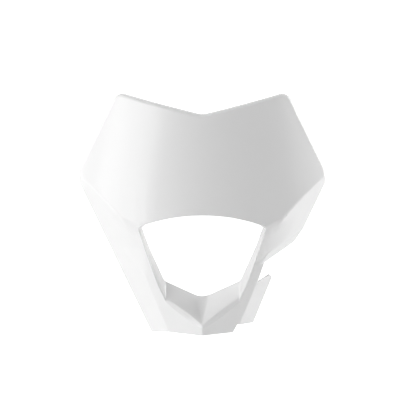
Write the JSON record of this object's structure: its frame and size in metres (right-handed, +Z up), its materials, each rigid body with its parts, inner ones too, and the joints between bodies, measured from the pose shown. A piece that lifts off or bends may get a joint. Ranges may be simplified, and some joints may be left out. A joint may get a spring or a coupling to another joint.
{
  "type": "motorcycle headlight mask",
  "caption": "One-piece moulded headlight mask for an off-road motorcycle: bent number plate above a hooded lamp window, angled side walls, cable notch on one side.",
  "frame": {"origin": "midway between the two lamp screw bosses, level with their rear faces, on the centre plane", "axes": "+X to the right of someone who faces the mask, +Y back into the motorcycle, +Z up"},
  "size_m": [0.2714, 0.0826, 0.2652],
  "materials": {
    "gloss_white": "smooth glossy white polypropylene, coloured through, no decals"
  },
  "bodies": {
    "root": {"headlight_mask": "gloss_white"}
  },
  "joints": []
}
